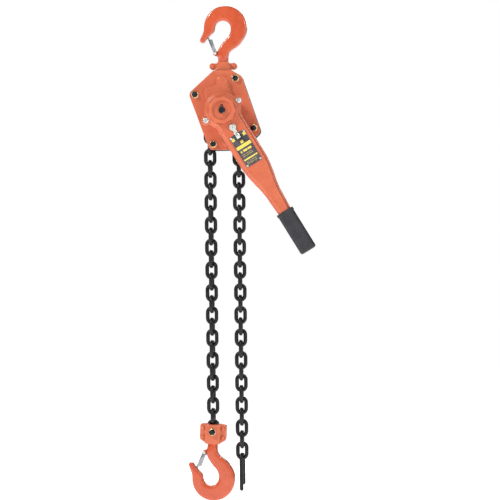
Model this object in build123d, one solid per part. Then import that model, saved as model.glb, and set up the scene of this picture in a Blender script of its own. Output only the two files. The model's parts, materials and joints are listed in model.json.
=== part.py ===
from build123d import *

import math
import os

# Lever chain hoist (lever block), 3 tonne class, hanging from its top hook.
# Millimetres. Origin: centre of the top hook's bowl. +X to the right of the nameplate side,
# +Y from the nameplate side towards the gear side, +Z up.

# ---------------------------------------------------------------- driving dimensions
# Hooks
BOWL_R = 21.5
HOOK_R = 57.5
HOOK_CENTRE = (7.3, 4.0)
HOOK_THICK = 28.0
HOOK_EDGE = 4.0
NECK_R = 14.2
NECK_END = -87.5
STEM_R = 12.0
STEM_LEN = 6.5
HEAD_R = 16.5
HEAD_LEN = 7.5
LATCH_PIVOT = (-21.8, -65.0)
LATCH_TIP = (-38.0, -25.0)
LATCH_PIN_R = 2.5
LATCH_WEB = -3.4
LATCH_FLANGE = 6.0
LATCH_LUG_HALF = 3.0

# Chain: 10 mm rod, 30 mm pitch
ROD_R = 5.0
PITCH = 30.0
LINK_BEND_R = 11.8
LINK_STRAIGHT = 16.6
STRAND_X = 38.0
SHEAVE_NESTED_R = 34.0
LOAD_LINKS = 28
SLACK_LINKS = 30
STOP_LEGS = (80.0, 64.0)
STOP_YAW = -11.0
LOAD_TWIST = (-3.0, -11.0)
SLACK_TWIST = -1.5

# Frame
HUB_Z = -222.5
FRAME_LIFT = 2.5
PLATE_IN = 22.0
PLATE_OUT = 27.0
SHEET = 3.0
TILT = 19.3
OUTLINE = [(-92.2, 47.6), (-25, 108), (23, 108), (50, 91.5), (99.8, -57.5), (48, -104), (-37.9, -104)]
OUTLINE_ROUND = [15.0, 8.0, 10.0, 14.0, 15.0, 12.0, 14.0]
STAYS = [(-75.0, 44.0 + FRAME_LIFT), (33.0, 86.0 + FRAME_LIFT), (80.0, -47.0 + FRAME_LIFT)]
SHORT_SCREW = (-28.0, -88.0 + FRAME_LIFT)
TOP_PIN_RISE = 99.0
STAY_R = 5.0
NUT_R = 8.0
NUT_LEN = 7.0
WASHER_R = 10.0
WASHER_LEN = 1.6

# Brake and cover depth (towards -Y)
EMBOSS_FRONT = -42.0
DRUM_FRONT = -58.0
DRUM_R = 46.0
SHAFT_R = 8.0
PAWL_ANGLES = (62.0, 242.0)
RUN = 0.08

# Lever
LEVER_SWING = 31.0
LEVER_HEAD_R = 49.0
LEVER_HALF = 37.8
LEVER_TAPER = [(162, 37.8), (187, 34.6), (213, 29.8), (231, 25.5), (255, 21.8), (274, 21.0), (309, 18.8)]
LEVER_LOBE = (50.8, 13.0)
LEVER_MID = -77.0
LEVER_FRONT = -92.0
LEVER_REAR = -62.0
GRIP = (313.0, 435.0)
GRIP_HALF = 23.0
PLATE_SPAN = (73.0, 165.0)
PLATE_HALF = 23.1
SELECTOR_S = 53.3

# Gears
COARSE = 2.5
FINE = 2.0
PINION_TEETH = 8
IDLER_TEETH = 24
IDLER_PINION_TEETH = 10
LOAD_TEETH = 30
GEAR_CENTRES = COARSE * (PINION_TEETH + IDLER_TEETH) / 2

# Lower block
PIN_Z = HUB_Z - PITCH * LOAD_LINKS - LINK_STRAIGHT / 2 - 1.7
BLOCK_TILT = 3.5
BLOCK_YAW = -5.0
BLOCK_BOTTOM = -33.0
BLOCK_THICK = 19.0


# ---------------------------------------------------------------- helpers
def y_disc(radius, y0, y1, x=0.0, z=0.0):
    """Cylinder along Y from y0 to y1."""
    return Pos(x, (y0 + y1) / 2, z) * Rot(90, 0, 0) * Cylinder(radius, y1 - y0)


def z_disc(radius, z0, z1, x=0.0, y=0.0):
    """Cylinder along Z from z0 to z1."""
    return Pos(x, y, (z0 + z1) / 2) * Cylinder(radius, z1 - z0)


def y_hex(across_corners, y0, y1, x=0.0, z=0.0):
    """Hexagon prism along Y."""
    return Pos(x, 0, z) * xz_prism(RegularPolygon(across_corners, 6), y0, y1)


def block(x0, x1, y0, y1, z0, z1):
    """Box between two corners."""
    return Pos((x0 + x1) / 2, (y0 + y1) / 2, (z0 + z1) / 2) * Box(x1 - x0, y1 - y0, z1 - z0)


def xz_prism(sketch, y0, y1):
    """A sketch drawn in X and Z, given thickness from y0 to y1."""
    plane = Plane(origin=(0, y1, 0), x_dir=(1, 0, 0), z_dir=(0, -1, 0))
    return extrude(plane * sketch, y1 - y0)


def rounded_outline(points, radii):
    """Closed outline with a round at every corner."""
    return make_face(FilletPolyline(*points, radius=radii, close=True))


def at_hub(shape):
    return Pos(0, 0, HUB_Z) * shape


def ring_of_teeth(module, teeth, first, addendum=0.85, width=0.88):
    """Toothed outline with a tooth centred at the angle `first`, in degrees."""
    pitch_r = module * teeth / 2
    base_r = pitch_r * math.cos(math.radians(20))
    root_r = pitch_r - 1.2 * module
    tip_r = pitch_r + addendum * module

    def half_angle(radius):
        pressure = math.acos(min(1.0, base_r / max(radius, base_r)))
        flare = math.tan(math.radians(20)) - math.radians(20)
        return math.pi / (2 * teeth) * width + flare - (math.tan(pressure) - pressure)

    levels = [root_r, pitch_r - 0.4 * module, pitch_r + 0.3 * module, tip_r]
    points = []
    for tooth in range(teeth):
        centre = math.radians(first) + 2 * math.pi * tooth / teeth
        for radius in levels:
            angle = centre - half_angle(radius)
            points.append((radius * math.cos(angle), radius * math.sin(angle)))
        for radius in reversed(levels):
            angle = centre + half_angle(radius)
            points.append((radius * math.cos(angle), radius * math.sin(angle)))
    return make_face(Polyline(*points, close=True))


def save(name, *solids):
    """Writes one node; several solids stay separate in it."""
    shape = solids[0] if len(solids) == 1 else Compound(children=list(solids))
    export_step(shape, f"parts/{name}.step")


# ---------------------------------------------------------------- hook and latch
def hook_outline():
    """Outline of the forged hook, bowl at the origin, neck pointing down."""
    cx, cz = HOOK_CENTRE

    def rim(angle):
        a = math.radians(angle)
        return (cx + HOOK_R * math.cos(a), cz + HOOK_R * math.sin(a))

    def bowl(angle):
        a = math.radians(angle)
        return (BOWL_R * math.cos(a), BOWL_R * math.sin(a))

    neck_left = (-NECK_R, -72.0)
    neck_right = (NECK_R, -72.0)
    lines = [
        Line((-NECK_R, NECK_END), neck_left),
        Spline(
            neck_left, (-12.1, -54.3), (-5.3, -43.6), (7.6, -27.7), bowl(-12),
            tangents=[(0, 1), (0.21, 0.98)],
        ),
        ThreePointArc(bowl(-12), bowl(90), bowl(184)),
        Spline(bowl(184), (-34.0, -17.5), (-47.0, -31.0), tangents=[(-0.1, -1), (-0.85, -0.5)]),
        ThreePointArc((-47.0, -31.0), (-56.5, -38.0), (-60.5, -27.0)),
        Spline((-60.5, -27.0), (-54.5, -14.0), rim(180), tangents=[(0.35, 0.94), (0, 1)]),
        ThreePointArc(rim(180), rim(70), rim(-40)),
        Spline(
            rim(-40), (43.6, -43.6), (28.6, -54.3), (17.2, -63.5), neck_right,
            tangents=[(-0.64, -0.77), (0, -1)],
        ),
        Line(neck_right, (NECK_R, NECK_END)),
        Line((NECK_R, NECK_END), (-NECK_R, NECK_END)),
    ]
    return make_face(Wire(lines))


def hook():
    """Forged hook with its latch lug, stem and head."""
    trimmed = xz_prism(hook_outline(), -HOOK_THICK / 2, HOOK_THICK / 2)
    faces = trimmed.faces().sort_by(Axis.Y)
    rims = [e for face in (faces[0], faces[-1]) for e in face.edges() if e.bounding_box().min.Z > NECK_END + 0.1]
    body = fillet(rims, HOOK_EDGE)
    body = body - block(-NECK_R - 1, NECK_R + 1, -20, 20, NECK_END - 1, -76)
    body += z_disc(NECK_R - 0.02, NECK_END, -74)
    lug = xz_prism(rounded_outline([(-10, -75), (-27.5, -71.5), (-27.5, -59.5), (-10, -58.5)], [1, 5, 5, 1]),
                   -LATCH_LUG_HALF, LATCH_LUG_HALF)
    body += lug
    body -= y_disc(LATCH_PIN_R, -20, 20, *LATCH_PIVOT)
    body += z_disc(STEM_R, NECK_END - STEM_LEN, NECK_END)
    head_top = NECK_END - STEM_LEN
    body += z_disc(HEAD_R, head_top - HEAD_LEN, head_top)
    return body


def latch():
    """Pressed channel latch: a web towards the mouth, two flanges astride the lug, and a rolled tip."""
    px, pz = LATCH_PIVOT
    tx, tz = LATCH_TIP
    length = math.hypot(tx - px, tz - pz)
    lean = math.degrees(math.atan2(tx - px, tz - pz))
    web = block(LATCH_WEB, LATCH_WEB + 2, -7.5, 7.5, 12, length - 4)
    tip = y_disc(2.2, -5.5, 5.5, 0, length - 0.6)
    nose = block(-2.6, 1.5, -5.5, 5.5, length - 6, length - 0.6)
    outline = [(-4.2, -4.2), (4.2, -4.2), (LATCH_FLANGE, 12), (LATCH_FLANGE + 1.5, length - 5),
               (LATCH_WEB, length - 4), (LATCH_WEB, 8)]
    flange = rounded_outline(outline, [3.5, 3.5, 2, 3, 0.8, 2])
    shape = web + tip + nose
    for side in (-1, 1):
        shape += xz_prism(flange, min(side * 5.5, side * 7.5), max(side * 5.5, side * 7.5))
    shape -= y_disc(LATCH_PIN_R + RUN, -10, 10)
    return Pos(px, 0, pz) * Rot(0, lean, 0) * shape


def latch_pin():
    px, pz = LATCH_PIVOT
    return y_disc(LATCH_PIN_R, -8.4, 8.4, px, pz) + y_disc(4.0, -10.0, -8.2, px, pz) + y_disc(4.0, 8.2, 10.0, px, pz)


def latch_spring():
    """Two coils round the latch pin, one each side of the lug."""
    px, pz = LATCH_PIVOT
    return [y_disc(3.6, s * 4.3 - 0.9, s * 4.3 + 0.9, px, pz) - y_disc(2.6, -9, 9, px, pz) for s in (-1, 1)]


def upside_down(shape, lift):
    """Turns a hook piece over, tip still to -X, and drops it below the block."""
    return Pos(0, 0, lift) * Rot(180, 0, 0) * shape


# ---------------------------------------------------------------- chain
def half_ring():
    """The bend at one end of a link, in the XY plane, opening towards -Y."""
    return Torus(LINK_BEND_R, ROD_R, major_angle=180, align=None)


def link(straight=LINK_STRAIGHT):
    """One link standing in the XZ plane, long axis along Z."""
    half = straight / 2
    top = Pos(0, half, 0) * half_ring()
    bottom = Pos(0, -half, 0) * Rot(0, 0, 180) * half_ring()
    sides = [Pos(s * LINK_BEND_R, 0, 0) * Rot(90, 0, 0) * Cylinder(ROD_R, straight) for s in (-1, 1)]
    return Rot(90, 0, 0) * (top + bottom + sides[0] + sides[1])


def strand(x, first, last, twist):
    """Links first..last below the hub; even ones face the front, odd ones stand edge-on."""
    shape = link()
    links = []
    for n in range(first, last + 1):
        share = (n - first) / (last - first)
        if n > last - 4:
            yaw = twist[1] + (twist[2] - twist[1]) * (n - last + 4) / 4
        else:
            yaw = twist[0] + (twist[1] - twist[0]) * share
        turn = 90 * (n % 2) + yaw
        links.append(Pos(x, 0, HUB_Z - PITCH * n) * Rot(0, 0, turn) * shape)
    return links


def wrapped_links():
    """The four links over the sheave: upright ones further out than the flat ones."""
    shape = link()
    links = []
    for n in range(4):
        angle = 180 - 45 * n
        radius = SHEAVE_NESTED_R if n % 2 else STRAND_X
        turned = Rot(0, 0, 90 * (n % 2)) * shape
        links.append(at_hub(Rot(0, 180 - angle, 0) * Pos(-radius, 0, 0) * turned))
    return links


def chain_end_stop():
    """Long U through the last slack link, its front leg the longer."""
    shape = half_ring()
    for side, length in zip((-1, 1), STOP_LEGS):
        shape += Pos(side * LINK_BEND_R, -length / 2, 0) * Rot(90, 0, 0) * Cylinder(ROD_R, length)
        shape += Pos(side * LINK_BEND_R, -length, 0) * Sphere(ROD_R)
    centre = HUB_Z - PITCH * SLACK_LINKS - LINK_STRAIGHT / 2 - LINK_BEND_R - 1.6
    return Pos(STRAND_X, 0, centre) * Rot(0, 0, 90 + STOP_YAW) * Rot(90, 0, 0) * shape


# ---------------------------------------------------------------- frame
def body_outline():
    return Pos(0, FRAME_LIFT) * rounded_outline(OUTLINE, OUTLINE_ROUND)


def side_plate(y0, y1):
    plate = xz_prism(body_outline(), y0, y1)
    plate -= y_disc(27.02, y0 - 1, y1 + 1)
    for x, z in STAYS:
        plate -= y_disc(STAY_R + 0.02, y0 - 1, y1 + 1, x, z)
    plate -= y_disc(7.02, y0 - 1, y1 + 1, 0, TOP_PIN_RISE)
    return plate


def emboss(grow, y0, y1):
    """Raised rectangle of the brake cover, along the body's long direction."""
    shape = Pos(2.2, -10) * RectangleRounded(2 * (32 + grow), 2 * (81 + grow), 11 + grow)
    bulge = Pos(24, 73) * Circle(14.6 + grow)
    return xz_prism(Pos(0, FRAME_LIFT) * Rot(0, 0, TILT) * (shape + bulge), y0, y1)


def brake_cover():
    flange = xz_prism(body_outline(), -PLATE_OUT - SHEET, -PLATE_OUT)
    raised = emboss(0, EMBOSS_FRONT, -PLATE_OUT - 1)
    drum = y_disc(DRUM_R, DRUM_FRONT, -PLATE_OUT - 1)
    drum = fillet(drum.faces().sort_by(Axis.Y)[0].edges(), 4)
    shape = flange + raised + drum
    shape -= emboss(-SHEET, EMBOSS_FRONT + SHEET, -PLATE_OUT + 1)
    shape -= y_disc(DRUM_R - SHEET, DRUM_FRONT + SHEET, -PLATE_OUT + 1)
    shape -= y_disc(19, DRUM_FRONT - 1, -PLATE_OUT)
    for x, z in STAYS + [SHORT_SCREW]:
        shape -= y_disc(STAY_R + 0.02, -40, -PLATE_OUT + 1, x, z)
    return at_hub(shape)


def gear_case(grow, y0, y1):
    shape = Pos(2, 0) * RectangleRounded(2 * (38.5 + grow), 2 * (78.5 + grow), 20 + grow)
    return xz_prism(Rot(0, 0, TILT) * shape, y0, y1)


def gear_cover():
    flange = xz_prism(body_outline(), PLATE_OUT, PLATE_OUT + SHEET)
    raised = gear_case(0, PLATE_OUT + 1, 64)
    raised = fillet(raised.faces().sort_by(Axis.Y)[-1].edges(), 5)
    shape = flange + raised - gear_case(-SHEET, PLATE_OUT - 1, 61)
    for place in idler_centres():
        shape += y_disc(9, 56, 62, *place)
        shape -= y_disc(5 + RUN, 50, 61.5, *place)
    shape += y_disc(12, 56, 62)
    shape -= y_disc(6.5 + RUN, 50, 61.5)
    for x, z in STAYS:
        shape -= y_disc(STAY_R + 0.02, 20, 40, x, z)
    return at_hub(shape)


def stay_bolts():
    return [at_hub(y_disc(STAY_R, -41, 41, x, z)) for x, z in STAYS]


def short_screw():
    x, z = SHORT_SCREW
    return at_hub(y_disc(STAY_R, -41, -PLATE_OUT - 0.02, x, z))


def nut(y0, y1, x, z):
    return at_hub(y_hex(NUT_R, y0, y1, x, z) - y_disc(STAY_R, -60, 60, x, z))


def washer(y0, y1, x, z):
    return at_hub(y_disc(WASHER_R, y0, y1, x, z) - y_disc(STAY_R, -60, 60, x, z))


def yoke_half(side):
    """Half of the top hook's holder, clamped round the stem and head."""
    arms = block(-28, 28, -8, 8, -108, -92)
    for x in (-28, 28):
        arms += y_disc(9, -8, 8, x, -100)
    outline = [(-15.6, NECK_END - 0.3), (15.6, NECK_END - 0.3), (15.6, -105), (24, -113), (24, -142), (-24, -142),
               (-24, -113), (-15.6, -105)]
    column = xz_prism(rounded_outline(outline, [2, 2, 6, 3, 6, 6, 3, 6]), -17.5, 17.5)
    shape = arms + column
    shape -= z_disc(STEM_R + RUN, -96, -80)
    shape -= z_disc(HEAD_R + 0.3, NECK_END - STEM_LEN - HEAD_LEN - 0.3, NECK_END - STEM_LEN + 0.05)
    shape -= y_disc(7.02, -30, 30, 0, HUB_Z + TOP_PIN_RISE)
    for x in (-28, 28):
        shape -= y_disc(4.02, -30, 30, x, -100)
    keep = block(-60, 60, 0.05, 40, -200, 0) if side > 0 else block(-60, 60, -40, -0.05, -200, 0)
    return shape & keep


def rivet(x, z, half_grip, radius=4.0, head=6.5):
    """Rivet with a domed head at each end."""
    shape = y_disc(radius, -half_grip - 1, half_grip + 1, x, z)
    for side in (-1, 1):
        dome = Pos(x, side * (half_grip - 2.5), z) * Sphere(math.hypot(head, 2.5))
        cut = block(x - 20, x + 20, half_grip, 40, z - 20, z + 20)
        if side < 0:
            cut = block(x - 20, x + 20, -40, -half_grip, z - 20, z + 20)
        shape += dome & cut
    return shape


def sheave_bearings():
    rings = []
    for side in (-1, 1):
        low, high = sorted((side * PLATE_IN, side * PLATE_OUT))
        rings.append(at_hub(y_disc(27, low, high) - y_disc(20 + RUN, low - 1, high + 1)))
    return rings


def chain_guide():
    """Curved guide over the sheave."""
    shape = y_disc(64, -21.9, 21.9) - y_disc(60, -23, 23)
    shape -= block(-70, 70, -30, 30, -70, 34)
    return at_hub(shape)


def chain_stripper():
    """Tongue in the sheave's groove that peels the chain off, on a cross bar."""
    tongue = block(-9, 9, -4.5, 4.5, -72, -21)
    bar = block(-12, 12, -21.9, 21.9, -76, -60)
    return at_hub(tongue + bar)


# ---------------------------------------------------------------- lifting parts
def load_sheave():
    """Four-pocket load sheave with its journals."""
    shape = y_disc(40.5, -20.5, 20.5)
    shape += y_disc(50, -20.5, -17.8)
    shape += y_disc(50, 17.8, 20.5)
    groove = y_disc(60, -6, 6) - y_disc(18.6, -7, 7)
    shape -= groove
    for n in range(4):
        pocket = block(28.6, 60, -17.8, 17.8, -28, 28)
        shape -= Rot(0, 45 + 90 * n, 0) * pocket
    shape -= y_disc(60, -8.6, 8.6) - y_disc(29.5, -9, 9)
    shape += y_disc(20, -28, 28)
    shape -= groove
    shape += y_disc(14, 27, 41)
    shape -= y_disc(SHAFT_R + RUN, -30, 50)
    return at_hub(shape)


def load_gear():
    sketch = ring_of_teeth(FINE, LOAD_TEETH, TILT + 90)
    return at_hub(xz_prism(sketch, 29, 41) - y_disc(14.02, 20, 50))


def idler_centres():
    angle = math.radians(TILT + 90)
    x = GEAR_CENTRES * math.cos(angle)
    z = GEAR_CENTRES * math.sin(angle)
    return [(x, z), (-x, -z)]


def idler_gear(n):
    """Large gear driven by the pinion, small gear driving the load gear, and journals."""
    towards_hub = TILT + 90 + 180 * n + 180
    large = xz_prism(ring_of_teeth(COARSE, IDLER_TEETH, towards_hub + 180 / IDLER_TEETH), 43.5, 53.5)
    small = xz_prism(ring_of_teeth(FINE, IDLER_PINION_TEETH, towards_hub + 180 / IDLER_PINION_TEETH), 29, 44)
    shape = large + small + y_disc(5, 53, 61)
    return at_hub(Pos(idler_centres()[n][0], 0, idler_centres()[n][1]) * shape)


def pinion_shaft():
    shape = y_disc(SHAFT_R, -101, 42.6)
    shape += y_disc(6, -113, -100)
    shape += xz_prism(ring_of_teeth(COARSE, PINION_TEETH, TILT + 90), 42.5, 54.5)
    shape += y_disc(6.5, 54, 61)
    shape -= Pos(0, -110.5, 0) * Cylinder(1.6, 20)
    return at_hub(shape)


def brake_hub():
    shape = y_disc(27, -36, -31) + y_disc(14, -50, -31)
    return at_hub(shape - y_disc(SHAFT_R, -60, -20))


def friction_discs():
    discs = []
    for y0 in (-38.5, -46.5):
        discs.append(at_hub(y_disc(26, y0, y0 + 2.4) - y_disc(14.02, -60, -20)))
    return discs


def ratchet_disc():
    """Ratchet wheel held by the brake pawls."""
    points = []
    for n in range(12):
        for radius, step in ((33.0, 0.0), (29.0, 0.18)):
            angle = -2 * math.pi * (n + step) / 12
            points.append((radius * math.cos(angle), radius * math.sin(angle)))
    disc = xz_prism(make_face(Polyline(*points, close=True)), -43.9, -38.7)
    return at_hub(disc - y_disc(14 + 0.3, -60, -20))


def brake_pawl(n):
    """Pawl pivoting on its pin at the drum's rim."""
    sketch = make_face(Polyline((-4.6, 0), (4.6, 0), (3.0, -12), (-1.0, -15.0), (-4.0, -11), close=True)) + Circle(4.6)
    shape = xz_prism(sketch, -44, -38.5) - y_disc(2.5 + RUN, -60, -20)
    return at_hub(Rot(0, -PAWL_ANGLES[n], 0) * Pos(38, 0, 0) * Rot(0, 18, 0) * shape)


def pawl_pins():
    return [at_hub(Rot(0, -a, 0) * y_disc(2.5, -53, -PLATE_OUT - 0.02, 38, 0)) for a in PAWL_ANGLES]


def pawl_springs():
    rings = []
    for a in PAWL_ANGLES:
        coil = y_disc(4.3, -50, -45, 38, 0) - y_disc(3.0, -60, -20, 38, 0)
        rings.append(at_hub(Rot(0, -a, 0) * coil))
    return rings


def change_gear():
    """Driven disc of the brake, with the toothed rim that the lever's pawl drives."""
    shape = y_disc(27, -51.5, -46.6) + y_disc(16, -96, -51)
    rim = xz_prism(ring_of_teeth(3.2, 16, LEVER_SWING - 90, 0.7, 0.9), -84, -72)
    shape += rim
    shape -= y_disc(14.02, -50.02, -40)
    return at_hub(shape - y_disc(SHAFT_R, -120, -20))


def handwheel():
    """Scalloped free-wheeling handwheel with a recessed centre."""
    outer = Circle(34.6)
    for n in range(9):
        a = 2 * math.pi * n / 9
        outer += Pos(30.5 * math.cos(a), 30.5 * math.sin(a)) * Circle(6.4)
    shape = xz_prism(outer, -107, -96.1)
    shape -= y_disc(25.5, -110, -101)
    return at_hub(shape - y_disc(SHAFT_R, -120, -90))


def castle_nut():
    shape = y_hex(9.2, -108.5, -101.02) + y_disc(7.4, -112, -108)
    shape -= y_disc(6, -130, -90)
    for n in range(3):
        shape -= Rot(0, 90 + 60 * n, 0) * block(-20, 20, -113, -108.6, -1.7, 1.7)
    return at_hub(shape)


def split_pin():
    shape = Pos(0, -110.5, 0) * Cylinder(1.4, 19)
    eye = Pos(0, -110.5, 11) * Rot(90, 0, 0) * Torus(2.6, 1.2)
    return at_hub(shape + eye)


# ---------------------------------------------------------------- lever
def in_lever(shape):
    """Places a shape drawn along -Z into the lever's resting direction."""
    return Pos(0, 0, HUB_Z) * Rot(0, -LEVER_SWING, 0) * shape


def lever_outline(inset):
    side = [(LEVER_HALF - inset, -30.0)]
    side += [(half - inset, -s) for s, half in LEVER_TAPER]
    side.append((LEVER_TAPER[-1][1] - inset - 0.4, -GRIP[0] - 2))
    mirrored = [(-x, z) for x, z in reversed(side)]
    shaft = make_face(Polyline(*side, *mirrored, close=True))
    return shaft + Circle(LEVER_HEAD_R - inset)


def lobes(radius):
    return (Pos(LEVER_LOBE[0], 0) * Circle(radius)) + (Pos(-LEVER_LOBE[0], 0) * Circle(radius))


def lever_shell(outer, inner, stem):
    """One pressed half: rim flange, raised panel and the hollow behind it."""
    low, high = sorted((inner, inner + (4 if outer > inner else -4)))
    shape = xz_prism(lever_outline(0) + lobes(LEVER_LOBE[1]), low, high)
    low, high = sorted((inner, outer))
    panel = xz_prism(lever_outline(6), low, high)
    face = panel.faces().sort_by(Axis.Y)[-1 if outer > inner else 0]
    panel = chamfer(face.edges(), 2)
    shape += panel
    wall = 3 if outer > inner else -3
    low, high = sorted((inner - (1 if outer > inner else -1), outer - wall))
    hollow = xz_prism(lever_outline(9), low, high)
    shape -= hollow & block(-60, 60, -120, -40, -300, 60)
    shape += block(-15, 15, *sorted((inner, outer - 2 * wall)), -GRIP[1] + 12, -GRIP[0] + 4)
    shape -= y_disc(20, -120, -40)
    for x in (-LEVER_LOBE[0], LEVER_LOBE[0]):
        shape -= y_disc(4.02, -120, -40, x, 0)
    if stem:
        shape -= y_disc(5 + RUN, -120, -80, 0, -SELECTOR_S)
    return in_lever(shape)


def lever_screws():
    screws = []
    for x in (-LEVER_LOBE[0], LEVER_LOBE[0]):
        head = y_disc(7.6, -85.5, -81.1, x, 0) - block(x - 9, x + 9, -86, -84, -1, 1)
        screws.append(in_lever(head + y_disc(4, -84, -69, x, 0)))
    return screws


def lever_nuts():
    nuts = []
    for x in (-LEVER_LOBE[0], LEVER_LOBE[0]):
        nuts.append(in_lever(y_hex(7, -72.9, -67.5, x, 0) - y_disc(4, -90, -50, x, 0)))
    return nuts


def lever_grip():
    sketch = RectangleRounded(2 * GRIP_HALF, 33, 10)
    plane = Plane(origin=(0, LEVER_MID, -GRIP[1]), x_dir=(1, 0, 0), z_dir=(0, 0, 1))
    shape = extrude(plane * sketch, GRIP[1] - GRIP[0])
    shape = fillet(shape.faces().sort_by(Axis.Z)[0].edges(), 6)
    mouth = Plane(origin=(0, LEVER_MID, -GRIP[0] - 8), x_dir=(1, 0, 0), z_dir=(0, 0, 1))
    shape += extrude(mouth * RectangleRounded(49, 36, 11), 8)
    shape -= block(-15.1, 15.1, -86.1, -67.9, -GRIP[1] + 11.9, 0)
    shape -= block(-19.2, 19.2, -92.2, -61.8, -GRIP[0] - 3, 0)
    return in_lever(shape)


def nameplate():
    s0, s1 = PLATE_SPAN
    sketch = Pos(0, -(s0 + s1) / 2) * RectangleRounded(2 * PLATE_HALF, s1 - s0, 3)
    shape = xz_prism(sketch, LEVER_FRONT - 1.0, LEVER_FRONT - 0.02)
    for x, s in plate_rivet_places():
        shape -= y_disc(1.6, -100, -85, x, -s)
    return in_lever(shape)


def plate_rivet_places():
    return [(x, s) for x in (-19.8, 19.8) for s in (77.0, 161.0)]


def plate_rivets():
    rivets = []
    for x, s in plate_rivet_places():
        head = y_disc(2.8, LEVER_FRONT - 2.2, LEVER_FRONT - 1.02, x, -s)
        rivets.append(in_lever(head + y_disc(1.58, LEVER_FRONT - 2, LEVER_FRONT - 0.02, x, -s)))
    return rivets


def selector_lever():
    """Direction selector: round head, joggled arm."""
    front = LEVER_FRONT - 2.0
    head = y_disc(9, front - 4, front, 0, -SELECTOR_S)
    arm = block(-4.2, 4.2, front - 4, front - 0.5, -SELECTOR_S - 20, -SELECTOR_S)
    tip = block(-5.3, 5.3, front - 8, front - 4.5, -SELECTOR_S - 34, -SELECTOR_S - 17)
    joggle = block(-4.6, 4.6, front - 8, front - 0.5, -SELECTOR_S - 21, -SELECTOR_S - 16.5)
    shape = head + arm + tip + joggle
    return in_lever(shape - y_disc(5, -120, -80, 0, -SELECTOR_S))


def selector_spindle():
    shape = y_disc(5, LEVER_FRONT - 7, LEVER_REAR - 4, 0, -SELECTOR_S)
    shape += y_disc(7, LEVER_FRONT - 8.4, LEVER_FRONT - 6.02, 0, -SELECTOR_S)
    return in_lever(shape)


def change_pawl():
    """Double-ended pawl on the selector's spindle."""
    sketch = Circle(9)
    for side in (-1, 1):
        horn = make_face(Polyline((side * -2, 0), (side * 8, 2), (side * 16, 15), (side * 9.5, 18.5), close=True))
        sketch += horn
    shape = xz_prism(sketch, -83.5, -72.5)
    shape -= y_disc(5, -120, -50)
    return in_lever(Pos(0, 0, -SELECTOR_S) * shape)


# ---------------------------------------------------------------- lower block
def in_block(shape):
    """Places a shape drawn about the chain pin into the hanging block."""
    return Pos(-STRAND_X, 0, PIN_Z) * Rot(0, 0, BLOCK_YAW) * Rot(0, BLOCK_TILT, 0) * shape


def block_half(side):
    points = [(-35, 21), (-20, 23), (20, 23), (35, 21), (35, -20), (19, -29), (16.6, -32.7), (-16.6, -32.7),
              (-19, -29), (-35, -20)]
    shape = xz_prism(rounded_outline(points, [6, 4, 4, 6, 9, 4, 1.5, 1.5, 4, 9]), -9, 9)
    boss = block(-21, 21, -BLOCK_THICK, BLOCK_THICK, -30, 20)
    boss = fillet(boss.edges().filter_by(Axis.Z), 5)
    shape += boss
    shape += z_disc(16.6, -32.7, -24)
    shape -= block(-18.6, 18.6, -6.4, 6.4, -15.7, 0)
    shape -= block(-22.4, 22.4, -6.4, 6.4, -0.1, 40)
    shape -= block(-10.5, 10.5, -15, 15, 11, 40)
    shape -= z_disc(STEM_R + RUN, -40, -20)
    head_low = BLOCK_BOTTOM + STEM_LEN
    shape -= z_disc(HEAD_R + 0.3, head_low - 0.05, head_low + HEAD_LEN + 0.3)
    shape -= y_disc(5.02, -40, 40)
    for x, z in block_rivet_places():
        shape -= y_disc(3.52, -40, 40, x, z)
    keep = block(-60, 60, 0.05, 40, -60, 60) if side > 0 else block(-60, 60, -40, -0.05, -60, 60)
    return in_block(shape & keep)


def block_rivet_places():
    return [(x, z) for x in (-27.3, 27.3) for z in (10.0, -14.0)]


def block_rivets():
    return [in_block(rivet(x, z, 9.02, 3.5, 5.8)) for x, z in block_rivet_places()]


def chain_pin():
    return in_block(y_disc(5, -31, 24) + y_hex(8.5, 20.6, 27, 0, 0))


def chain_pin_washer():
    return in_block(y_disc(9.5, -BLOCK_THICK - 1.8, -BLOCK_THICK - 0.02) - y_disc(5, -40, 40))


def chain_pin_nut():
    return in_block(y_hex(8.5, -28, -BLOCK_THICK - 1.82) - y_disc(5, -40, 40))


# ---------------------------------------------------------------- every node
os.makedirs("parts", exist_ok=True)

hook_shape = hook()
latch_shape = latch()
drop = BLOCK_BOTTOM + NECK_END

save("top_hook", hook_shape)
save("top_latch", latch_shape)
save("top_latch_pin", latch_pin())
save("top_latch_spring", *latch_spring())
save("bottom_hook", in_block(upside_down(hook_shape, drop)))
save("bottom_latch", in_block(upside_down(latch_shape, drop)))
save("bottom_latch_pin", in_block(upside_down(latch_pin(), drop)))
save("bottom_latch_spring", *[in_block(upside_down(coil, drop)) for coil in latch_spring()])

save("yoke_front_half", yoke_half(-1))
save("yoke_rear_half", yoke_half(1))
save("yoke_rivets", *[rivet(x, -100, 8.02, 4.0, 5.8) for x in (-28, 28)])
save("top_pin", y_disc(7, -PLATE_OUT + 0.02, PLATE_OUT - 0.02, 0, HUB_Z + TOP_PIN_RISE))
save("front_side_plate", at_hub(side_plate(-PLATE_OUT, -PLATE_IN)))
rear_plate = side_plate(PLATE_IN, PLATE_OUT)
save("rear_side_plate", at_hub(rear_plate))
save("brake_cover", brake_cover())
save("gear_cover", gear_cover())
save("stay_bolts", *stay_bolts())
save("cover_screw", short_screw())
front = -PLATE_OUT - SHEET - 0.02
save("cover_washers", *[washer(front - WASHER_LEN, front, x, z) for x, z in STAYS + [SHORT_SCREW]])
save("cover_nuts", *[nut(front - WASHER_LEN - 0.02 - NUT_LEN, front - WASHER_LEN - 0.02, x, z)
                     for x, z in STAYS + [SHORT_SCREW]])
save("rear_nuts", *[nut(-front, -front + NUT_LEN, x, z) for x, z in STAYS])
save("sheave_bearings", *sheave_bearings())
save("chain_guide", chain_guide())
save("chain_stripper", chain_stripper())
save("ratchet_disc", ratchet_disc())
save("pawl_pins", *pawl_pins())
save("pawl_springs", *pawl_springs())
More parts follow.
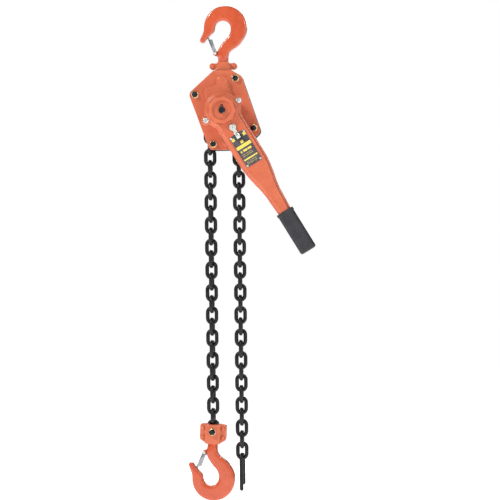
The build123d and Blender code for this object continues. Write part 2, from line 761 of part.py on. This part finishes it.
save("brake_pawl_upper", brake_pawl(0))
save("brake_pawl_lower", brake_pawl(1))

save("load_sheave", load_sheave())
save("load_gear", load_gear())
save("sheave_chain_links", *wrapped_links())
save("idler_gear_upper", idler_gear(0))
save("idler_gear_lower", idler_gear(1))
save("pinion_shaft", pinion_shaft())
save("brake_hub", brake_hub())
save("friction_discs", *friction_discs())
save("change_gear", change_gear())
save("handwheel", handwheel())
save("castle_nut", castle_nut())
save("split_pin", split_pin())

save("lever_front_shell", lever_shell(LEVER_FRONT, LEVER_MID - 0.05, True))
save("lever_rear_shell", lever_shell(LEVER_REAR, LEVER_MID + 0.05, False))
save("lever_screws", *lever_screws())
save("lever_nuts", *lever_nuts())
save("lever_grip", lever_grip())
save("nameplate", nameplate())
save("nameplate_rivets", *plate_rivets())
save("selector_lever", selector_lever())
save("selector_spindle", selector_spindle())
save("change_pawl", change_pawl())

save("load_chain", *strand(-STRAND_X, 1, LOAD_LINKS, (*LOAD_TWIST, BLOCK_YAW)))
save("slack_chain", *strand(STRAND_X, 0, SLACK_LINKS, (SLACK_TWIST, SLACK_TWIST, SLACK_TWIST)))
save("chain_end_stop", chain_end_stop())
save("block_front_half", block_half(-1))
save("block_rear_half", block_half(1))
save("block_rivets", *block_rivets())
save("chain_pin", chain_pin())
save("chain_pin_washer", chain_pin_washer())
save("chain_pin_nut", chain_pin_nut())
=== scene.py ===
import json
import math

import bmesh
import bpy
from mathutils import Matrix, Quaternion, Vector


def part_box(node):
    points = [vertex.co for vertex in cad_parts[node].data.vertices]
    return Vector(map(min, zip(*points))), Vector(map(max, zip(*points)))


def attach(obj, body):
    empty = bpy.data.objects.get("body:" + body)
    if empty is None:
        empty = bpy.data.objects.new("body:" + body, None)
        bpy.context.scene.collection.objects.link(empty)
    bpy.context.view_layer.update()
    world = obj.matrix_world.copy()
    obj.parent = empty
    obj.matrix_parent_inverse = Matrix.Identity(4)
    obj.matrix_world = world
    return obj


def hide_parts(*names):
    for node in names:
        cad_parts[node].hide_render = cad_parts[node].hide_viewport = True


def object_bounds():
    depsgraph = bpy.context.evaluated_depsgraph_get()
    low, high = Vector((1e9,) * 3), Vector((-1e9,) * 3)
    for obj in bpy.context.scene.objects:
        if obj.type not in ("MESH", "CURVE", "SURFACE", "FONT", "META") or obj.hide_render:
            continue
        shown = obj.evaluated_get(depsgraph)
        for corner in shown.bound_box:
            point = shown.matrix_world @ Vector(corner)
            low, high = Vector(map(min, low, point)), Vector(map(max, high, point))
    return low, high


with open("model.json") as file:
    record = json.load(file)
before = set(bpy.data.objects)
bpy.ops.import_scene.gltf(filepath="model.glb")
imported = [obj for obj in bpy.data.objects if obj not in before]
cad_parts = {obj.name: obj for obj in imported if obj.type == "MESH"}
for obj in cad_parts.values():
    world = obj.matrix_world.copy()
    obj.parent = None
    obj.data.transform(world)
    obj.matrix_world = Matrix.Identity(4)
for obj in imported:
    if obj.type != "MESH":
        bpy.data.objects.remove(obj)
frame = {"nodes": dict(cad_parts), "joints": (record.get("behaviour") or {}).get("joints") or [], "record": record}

cad_low, cad_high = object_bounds()

# ------------------------------------------------------------------ places read from the frame
MM = 0.001
joints = {joint["name"]: joint for joint in frame["joints"]}
hub = Vector(joints["sheave_turn"]["pos_m"])
block_pin = Vector(joints["block_sway"]["pos_m"])
LEVER_SWING = math.radians(31)
PITCH = 30 * MM
ROD = 5 * MM
BEND = 11.8 * MM
STRAIGHT = 16.6 * MM
LOAD_LINKS = 28
SLACK_LINKS = 30
AROUND_ROD = 14
BEND_STEPS = 16
WELD_RING = 16.5
WELD_SWELL = 0.06
WELD_WIDTH = 1.1
TWISTED_LINKS = 4
PRINT_RISE = 0.12 * MM
CAP_SIDES = 40


# ------------------------------------------------------------------ materials
def new_node(tree, kind, **inputs):
    node = tree.nodes.new(kind)
    for key, value in inputs.items():
        node.inputs[key.replace("_", " ")].default_value = value
    return node


def noise(tree, coords, scale, detail=4.0, rough=0.55):
    node = new_node(tree, "ShaderNodeTexNoise", Scale=scale, Detail=detail, Roughness=rough)
    tree.links.new(coords, node.inputs["Vector"])
    return node.outputs["Fac"]


def remap(tree, value, low, high, to_low, to_high):
    node = tree.nodes.new("ShaderNodeMapRange")
    for slot, number in zip(("From Min", "From Max", "To Min", "To Max"), (low, high, to_low, to_high)):
        node.inputs[slot].default_value = number
    tree.links.new(value, node.inputs["Value"])
    return node.outputs["Result"]


def mixed(tree, factor, first, second):
    node = tree.nodes.new("ShaderNodeMix")
    node.data_type = "RGBA"
    tree.links.new(factor, node.inputs["Factor"])
    for slot, colour in ((6, first), (7, second)):
        if isinstance(colour, tuple):
            node.inputs[slot].default_value = (*colour, 1)
        else:
            tree.links.new(colour, node.inputs[slot])
    return node.outputs[2]


def product(tree, first, second):
    node = tree.nodes.new("ShaderNodeMath")
    node.operation = "MULTIPLY"
    tree.links.new(first, node.inputs[0])
    tree.links.new(second, node.inputs[1])
    return node.outputs[0]


def material(name, colour, other, wear, rough, metal=0.0, coat=0.0, coat_rough=0.2,
             patch=22.0, grain=900.0, bump=0.25, wear_from=0.57, stretch=(1, 1, 1)):
    """Paint, steel or rubber: patchy colour, fine grain, and worn edges."""
    mat = bpy.data.materials.new(name)
    mat.use_nodes = True
    tree = mat.node_tree
    bsdf = tree.nodes["Principled BSDF"]
    coords = tree.nodes.new("ShaderNodeTexCoord").outputs["Object"]
    scaled = tree.nodes.new("ShaderNodeMapping")
    scaled.inputs["Scale"].default_value = stretch
    tree.links.new(coords, scaled.inputs["Vector"])
    coords = scaled.outputs["Vector"]
    patches = noise(tree, coords, patch)
    body = mixed(tree, remap(tree, patches, 0.35, 0.65, 0, 1), colour, other)
    point = tree.nodes.new("ShaderNodeNewGeometry").outputs["Pointiness"]
    edge = remap(tree, point, wear_from, wear_from + 0.05, 0, 1)
    chips = remap(tree, noise(tree, coords, 160.0, 6.0), 0.5, 0.6, 0, 1)
    tree.links.new(mixed(tree, product(tree, edge, chips), body, wear), bsdf.inputs["Base Color"])
    rough_map = remap(tree, noise(tree, coords, 75.0, 5.0), 0.3, 0.7, rough - 0.08, rough + 0.1)
    tree.links.new(rough_map, bsdf.inputs["Roughness"])
    dent = new_node(tree, "ShaderNodeBump", Strength=bump, Distance=0.0004)
    tree.links.new(noise(tree, coords, grain, 3.0), dent.inputs["Height"])
    tree.links.new(dent.outputs["Normal"], bsdf.inputs["Normal"])
    bsdf.inputs["Metallic"].default_value = metal
    bsdf.inputs["Coat Weight"].default_value = coat
    bsdf.inputs["Coat Roughness"].default_value = coat_rough
    return mat


LOOKS = {
    "orange_hook": material("orange_hook", (0.62, 0.092, 0.024), (0.53, 0.068, 0.017), (0.78, 0.28, 0.14),
                            0.3, coat=0.7, coat_rough=0.08, grain=420, bump=0.35),
    "orange_paint": material("orange_paint", (0.66, 0.15, 0.062), (0.58, 0.115, 0.045), (0.80, 0.34, 0.2),
                             0.4, coat=0.35, coat_rough=0.2, grain=1400, bump=0.2),
    "black_paint": material("black_paint", (0.012, 0.012, 0.014), (0.02, 0.02, 0.022), (0.12, 0.12, 0.12),
                            0.4, coat=0.2, grain=1300, bump=0.2),
    "chain_black": material("chain_black", (0.012, 0.012, 0.014), (0.022, 0.021, 0.022), (0.09, 0.09, 0.095),
                            0.33, metal=0.55, grain=700, bump=0.35, patch=60.0),
    "black_oxide": material("black_oxide", (0.02, 0.024, 0.03), (0.035, 0.04, 0.05), (0.2, 0.22, 0.25),
                            0.35, metal=0.8, grain=900, bump=0.2, patch=90.0),
    "yellow_zinc": material("yellow_zinc", (0.62, 0.5, 0.22), (0.7, 0.45, 0.28), (0.8, 0.75, 0.5),
                            0.3, metal=1.0, patch=120.0),
    "bright_steel": material("bright_steel", (0.66, 0.69, 0.64), (0.56, 0.59, 0.57), (0.85, 0.86, 0.84),
                             0.34, metal=0.8, patch=80.0, grain=600, stretch=(1, 1, 6)),
    "latch_steel": material("latch_steel", (0.36, 0.37, 0.39), (0.27, 0.28, 0.30), (0.6, 0.6, 0.62),
                            0.32, metal=0.8, patch=90.0, grain=600),
    "grip_rubber": material("grip_rubber", (0.018, 0.018, 0.023), (0.028, 0.027, 0.033), (0.07, 0.07, 0.075),
                            0.55, grain=1600, bump=0.7, patch=35.0),
    "nameplate_black": material("nameplate_black", (0.045, 0.036, 0.046), (0.06, 0.05, 0.06),
                                (0.05, 0.04, 0.05), 0.35, coat=0.4, patch=50.0, bump=0.1),
    "nameplate_yellow": material("nameplate_yellow", (0.83, 0.68, 0.12), (0.78, 0.6, 0.09),
                                 (0.83, 0.68, 0.12), 0.4, patch=60.0, bump=0.1),
    "gear_steel": material("gear_steel", (0.32, 0.32, 0.33), (0.24, 0.24, 0.25), (0.6, 0.6, 0.6),
                           0.35, metal=1.0, patch=60.0, stretch=(1, 8, 1)),
    "friction_lining": material("friction_lining", (0.16, 0.09, 0.06), (0.22, 0.13, 0.09),
                                (0.3, 0.22, 0.16), 0.8, grain=1800, bump=0.6),
}
SLOT_OF = {part["node"]: part["material_slot"] for part in frame["record"]["subparts"]}
LOOK_OF = {"pinion_shaft": "black_oxide", "top_latch": "latch_steel", "bottom_latch": "latch_steel"}


def dress_cad():
    """Gives every CAD node the finish of its slot."""
    for name, node in frame["nodes"].items():
        node.data.materials.clear()
        node.data.materials.append(LOOKS[LOOK_OF.get(name, SLOT_OF[name])])


# ------------------------------------------------------------------ mesh helpers
def add_piece(name, mesh, look, body, slot, *nodes):
    """Links a mesh into the scene, on its body and in place of its CAD nodes."""
    piece = bpy.data.objects.new(name, mesh)
    bpy.context.scene.collection.objects.link(piece)
    mesh.materials.clear()
    mesh.materials.append(LOOKS[look])
    for polygon in mesh.polygons:
        polygon.use_smooth = True
    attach(piece, body)
    if nodes:
        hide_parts(*nodes)
    return piece


def baked(source, modifiers):
    """A new mesh: the source mesh after a list of (type, settings) modifiers."""
    holder = bpy.data.objects.new("holder", source)
    bpy.context.scene.collection.objects.link(holder)
    for kind, settings in modifiers:
        modifier = holder.modifiers.new(kind.lower(), kind)
        for key, value in settings.items():
            setattr(modifier, key, value)
    bpy.context.view_layer.update()
    graph = bpy.context.evaluated_depsgraph_get()
    mesh = bpy.data.meshes.new_from_object(holder.evaluated_get(graph), depsgraph=graph)
    bpy.data.objects.remove(holder)
    return mesh


def welded_copy(node):
    """The CAD node's mesh with its doubled seam vertices joined, modifiers free."""
    source = frame["nodes"][node]
    mesh = source.data.copy()
    mesh.transform(source.matrix_world)
    work = bmesh.new()
    work.from_mesh(mesh)
    bmesh.ops.remove_doubles(work, verts=work.verts, dist=1e-6)
    work.to_mesh(mesh)
    work.free()
    return mesh


def softened(node, voxel, rounds, body, slot):
    """A cast, forged or moulded piece: the CAD shape with its edges worn round."""
    mesh = baked(welded_copy(node), [
        ("REMESH", {"mode": "VOXEL", "voxel_size": voxel, "adaptivity": 0.0}),
        ("SMOOTH", {"factor": 0.5, "iterations": rounds}),
    ])
    return add_piece(node + "_formed", mesh, slot, body, slot, node)


def bevelled(node, width, body, slot, segments=2):
    """A cut or pressed piece: the CAD shape with a small round on each sharp edge."""
    mesh = welded_copy(node)
    work = bmesh.new()
    work.from_mesh(mesh)
    bmesh.ops.dissolve_limit(work, angle_limit=math.radians(1.5), verts=work.verts, edges=work.edges)
    work.to_mesh(mesh)
    work.free()
    mesh = baked(mesh, [
        ("BEVEL", {"width": width, "segments": segments, "limit_method": "ANGLE",
                   "angle_limit": math.radians(35), "harden_normals": True}),
        ("WEIGHTED_NORMAL", {"keep_sharp": True}),
    ])
    return add_piece(node + "_finished", mesh, LOOK_OF.get(node, slot), body, slot, node)


# ------------------------------------------------------------------ chain
def link_mesh(name, places):
    """Welded chain links, one closed tube each, a little swollen at the weld."""
    path = []
    for end, start in ((1, 0.0), (-1, math.pi)):
        for n in range(BEND_STEPS + 1):
            angle = start + math.pi * n / BEND_STEPS
            height = end * STRAIGHT / 2 + BEND * math.sin(angle)
            path.append((Vector((BEND * math.cos(angle), 0, height)), angle))
    work = bmesh.new()
    for place in places:
        rings = []
        for index, (centre, angle) in enumerate(path):
            outward = Vector((math.cos(angle), 0, math.sin(angle)))
            weld = 1.0 + WELD_SWELL * math.exp(-((index - WELD_RING) / WELD_WIDTH) ** 2)
            ring = []
            for k in range(AROUND_ROD):
                turn = 2 * math.pi * k / AROUND_ROD
                offset = (outward * math.cos(turn) + Vector((0, 1, 0)) * math.sin(turn)) * ROD * weld
                ring.append(work.verts.new(place @ (centre + offset)))
            rings.append(ring)
        for index, ring in enumerate(rings):
            following = rings[(index + 1) % len(rings)]
            for k in range(AROUND_ROD):
                after = (k + 1) % AROUND_ROD
                work.faces.new((ring[k], ring[after], following[after], following[k]))
    bmesh.ops.recalc_face_normals(work, faces=work.faces)
    mesh = bpy.data.meshes.new(name)
    work.to_mesh(mesh)
    work.free()
    return mesh


def strand_places(x, first, last, twist, end_twist):
    """Where each link of a strand hangs: every other one a quarter turned, plus a slight twist."""
    places = []
    for n in range(first, last + 1):
        share = (n - first) / (last - first)
        yaw = twist[0] + (twist[1] - twist[0]) * share
        if n > last - TWISTED_LINKS:
            yaw = twist[1] + (end_twist - twist[1]) * (n - last + TWISTED_LINKS) / TWISTED_LINKS
        turn = Matrix.Rotation(math.radians(90 * (n % 2) + yaw), 4, "Z")
        places.append(Matrix.Translation((x, 0, hub.z - PITCH * n)) @ turn)
    return places


def make_chains():
    """The two hanging strands, the load strand over the block's pin."""
    strands = (
        ("load_chain", "load_strand", strand_places(block_pin.x, 1, LOAD_LINKS, (-3.0, -11.0), -5.0)),
        ("slack_chain", "slack_strand", strand_places(-block_pin.x, 0, SLACK_LINKS, (-1.5, -1.5), -1.5)),
    )
    for node, body, places in strands:
        name = node + "_links"
        add_piece(name, link_mesh(name, places), "chain_black", body, "chain_black", node)


# ------------------------------------------------------------------ castings, pressings and mouldings
# node: (voxel in mm, smoothing rounds, body, slot)
CASTINGS = {
    "top_hook": (1.5, 45, "top_hook", "orange_hook"),
    "bottom_hook": (1.5, 45, "bottom_hook", "orange_hook"),
    "brake_cover": (1.0, 8, "frame", "orange_paint"),
    "yoke_front_half": (1.0, 8, "frame", "orange_paint"),
    "yoke_rear_half": (1.0, 8, "frame", "orange_paint"),
    "block_front_half": (1.0, 6, "lower_block", "orange_paint"),
    "block_rear_half": (1.0, 6, "lower_block", "orange_paint"),
    "lever_front_shell": (1.2, 8, "lever", "orange_paint"),
    "lever_rear_shell": (1.2, 6, "lever", "orange_paint"),
    "lever_grip": (1.2, 6, "lever", "grip_rubber"),
    "handwheel": (0.8, 8, "drive_shaft", "orange_paint"),
    "gear_cover": (1.3, 6, "frame", "black_paint"),
}


def make_castings():
    """Forged, cast, pressed and moulded pieces get their worn-round edges."""
    for node, (voxel, rounds, body, slot) in CASTINGS.items():
        softened(node, voxel * MM, rounds, body, slot)


# ------------------------------------------------------------------ cut and turned pieces
# body: {node: width of its small edge round in mm}
FINISHED = {
    "frame": {"front_side_plate": 0.8, "rear_side_plate": 0.8, "stay_bolts": 0.4, "cover_screw": 0.5,
              "cover_washers": 0.3, "cover_nuts": 0.6, "rear_nuts": 0.6, "yoke_rivets": 1.0, "top_pin": 0.5,
              "chain_guide": 0.8, "chain_stripper": 0.6, "ratchet_disc": 0.3, "pawl_pins": 0.3},
    "sheave": {"load_sheave": 0.5, "load_gear": 0.2},
    "idler_upper": {"idler_gear_upper": 0.2},
    "idler_lower": {"idler_gear_lower": 0.2},
    "brake_pawl_upper": {"brake_pawl_upper": 0.3},
    "brake_pawl_lower": {"brake_pawl_lower": 0.3},
    "drive_shaft": {"castle_nut": 0.6, "brake_hub": 0.4, "change_gear": 0.3},
    "lever": {"lever_screws": 0.7, "lever_nuts": 0.5, "nameplate_rivets": 0.3, "nameplate": 0.2},
    "selector": {"selector_lever": 0.7, "selector_spindle": 0.5, "change_pawl": 0.3},
    "top_latch": {"top_latch": 0.5},
    "bottom_latch": {"bottom_latch": 0.5},
    "top_hook": {"top_latch_pin": 0.8},
    "bottom_hook": {"bottom_latch_pin": 0.8},
    "lower_block": {"block_rivets": 1.0, "chain_pin": 0.7, "chain_pin_nut": 0.6, "chain_pin_washer": 0.3},
}


def make_finished():
    """Cut, turned and pressed pieces get their small machined edges."""
    for body, nodes in FINISHED.items():
        for node, width in nodes.items():
            bevelled(node, width * MM, body, SLOT_OF[node])


# ------------------------------------------------------------------ nameplate
def lever_point(across, along, depth):
    """A point given by its distance across and along the lever and its depth in Y, in metres."""
    turn = Matrix.Rotation(-LEVER_SWING, 3, "Y")
    flat = turn @ Vector((across, 0, -along))
    return Vector((hub.x + flat.x, depth, hub.z + flat.z))


def printed_marks():
    """Generic printed marks: (across, along, width, height) in millimetres."""
    squares = [(-17, 84, 8.5, 8), (17.5, 83, 8.5, 8), (1, 98.5, 8.5, 7.5)]
    bars = [(0, 109.5, 43, 9), (0, 145, 40, 4)]
    marks = squares + bars
    for across, width in ((-14.5, 4), (-3, 12), (10, 11)):
        marks.append((across, 122, width, 5.5))
    for along in (131, 135.5, 152, 157):
        for across, width in ((-13, 8), (-3, 9), (8, 10)):
            marks.append((across, along, width, 0.8))
    return marks


def make_nameplate():
    """The plate's raised print: plain bars and squares, standing for no text."""
    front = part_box("nameplate")[0].y
    work = bmesh.new()
    for across, along, width, height in printed_marks():
        corners = []
        for side, end in ((-1, -1), (1, -1), (1, 1), (-1, 1)):
            corners.append((across + side * width / 2, along + end * height / 2))
        rings = []
        for depth in (front, front - PRINT_RISE):
            rings.append([work.verts.new(lever_point(a * MM, s * MM, depth)) for a, s in corners])
        work.faces.new(rings[1])
        for k in range(4):
            work.faces.new((rings[0][k], rings[0][(k + 1) % 4], rings[1][(k + 1) % 4], rings[1][k]))
        work.faces.new(list(reversed(rings[0])))
    bmesh.ops.recalc_face_normals(work, faces=work.faces)
    mesh = bpy.data.meshes.new("nameplate_print")
    work.to_mesh(mesh)
    work.free()
    print_piece = add_piece("nameplate_print", mesh, "nameplate_yellow", "lever", "nameplate_black")
    for polygon in print_piece.data.polygons:
        polygon.use_smooth = False


def make_selector_cap():
    """The domed end of the selector's spindle, with its flat ring and centre dimple."""
    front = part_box("selector_spindle")[0].y
    centre = Vector(joints["selector_turn"]["pos_m"])
    profile = [(6.6, 0.0), (6.4, 0.25), (5.6, 0.4), (5.3, 0.12), (4.0, 0.12), (3.4, 0.5), (1.8, 0.75), (0.9, 0.7),
               (0.5, 0.35)]
    work = bmesh.new()
    rings = []
    for radius, rise in profile:
        ring = []
        for k in range(CAP_SIDES):
            turn = 2 * math.pi * k / CAP_SIDES
            offset = Vector((radius * math.cos(turn), 0, radius * math.sin(turn))) * MM
            ring.append(work.verts.new(Vector((centre.x, front - rise * MM, centre.z)) + offset))
        rings.append(ring)
    for lower, upper in zip(rings, rings[1:]):
        for k in range(CAP_SIDES):
            after = (k + 1) % CAP_SIDES
            work.faces.new((lower[k], lower[after], upper[after], upper[k]))
    work.faces.new(rings[-1])
    work.faces.new(list(reversed(rings[0])))
    bmesh.ops.recalc_face_normals(work, faces=work.faces)
    mesh = bpy.data.meshes.new("selector_cap")
    work.to_mesh(mesh)
    work.free()
    add_piece("selector_cap", mesh, "bright_steel", "selector", "bright_steel")


# ------------------------------------------------------------------ stage
def make_stage():
    """A pale floor and an even pale surround."""
    bpy.context.scene.view_settings.view_transform = "Standard"
    floor_mesh = bpy.data.meshes.new("floor")
    size, drop = 30.0, cad_low.z - 0.02
    floor_mesh.from_pydata([(-size, -size, drop), (size, -size, drop), (size, size, drop), (-size, size, drop)],
                           [], [(0, 1, 2, 3)])
    floor = bpy.data.objects.new("floor", floor_mesh)
    bpy.context.scene.collection.objects.link(floor)
    pale = bpy.data.materials.new("pale_floor")
    pale.use_nodes = True
    bsdf = pale.node_tree.nodes["Principled BSDF"]
    bsdf.inputs["Base Color"].default_value = (0.9, 0.9, 0.9, 1)
    bsdf.inputs["Emission Color"].default_value = (1, 1, 1, 1)
    bsdf.inputs["Emission Strength"].default_value = 0.85
    bsdf.inputs["Roughness"].default_value = 1.0
    floor_mesh.materials.append(pale)

    world = bpy.data.worlds.new("studio")
    world.use_nodes = True
    bpy.context.scene.world = world
    tree = world.node_tree
    backdrop = tree.nodes["Background"]
    backdrop.inputs["Color"].default_value = (1, 1, 1, 1)
    seen = tree.nodes.new("ShaderNodeLightPath").outputs["Is Camera Ray"]
    tree.links.new(remap(tree, seen, 0, 1, 0.26, 1.0), backdrop.inputs["Strength"])


def area_light(name, place, target, size, power):
    """A square soft light at a place, aimed at a target."""
    data = bpy.data.lights.new(name, "AREA")
    data.energy = power
    data.size = size
    light = bpy.data.objects.new(name, data)
    light.location = place
    light.rotation_mode = "QUATERNION"
    light.rotation_quaternion = (Vector(target) - Vector(place)).to_track_quat("-Z", "Y")
    bpy.context.scene.collection.objects.link(light)


def make_lights():
    """High key from the left, weaker fill from the right, a rim from behind, and a small glint."""
    middle = (0, 0, -0.6)
    area_light("key", (-2.6, -2.2, 2.2), middle, 0.8, 102)
    area_light("fill", (2.6, -3.4, 0.6), middle, 1.6, 30)
    area_light("back", (0.5, 3.0, 1.2), middle, 2.0, 60)
    area_light("glint", (0.9, -2.6, 0.5), middle, 0.18, 6)


def make_camera():
    """Long lens, a little below and to the right, rolled slightly clockwise."""
    distance, seen_width = 9.0, 1.33
    azimuth, elevation, roll = math.radians(2.75), math.radians(-1.4), math.radians(-0.7)
    data = bpy.data.cameras.new("camera")
    data.lens = data.sensor_width * distance / seen_width
    data.clip_end = 100
    camera = bpy.data.objects.new("camera", data)
    bpy.context.scene.collection.objects.link(camera)
    back = Vector((math.sin(azimuth) * math.cos(elevation), -math.cos(azimuth) * math.cos(elevation),
                   math.sin(elevation)))
    camera.location = Vector((0.065, 0, -0.590)) + back * distance
    camera.rotation_mode = "QUATERNION"
    camera.rotation_quaternion = (-back).to_track_quat("-Z", "Y") @ Quaternion((0, 0, 1), roll)
    bpy.context.scene.camera = camera


make_stage()
make_lights()
make_camera()
dress_cad()
make_chains()
make_castings()
make_finished()
make_nameplate()
make_selector_cap()
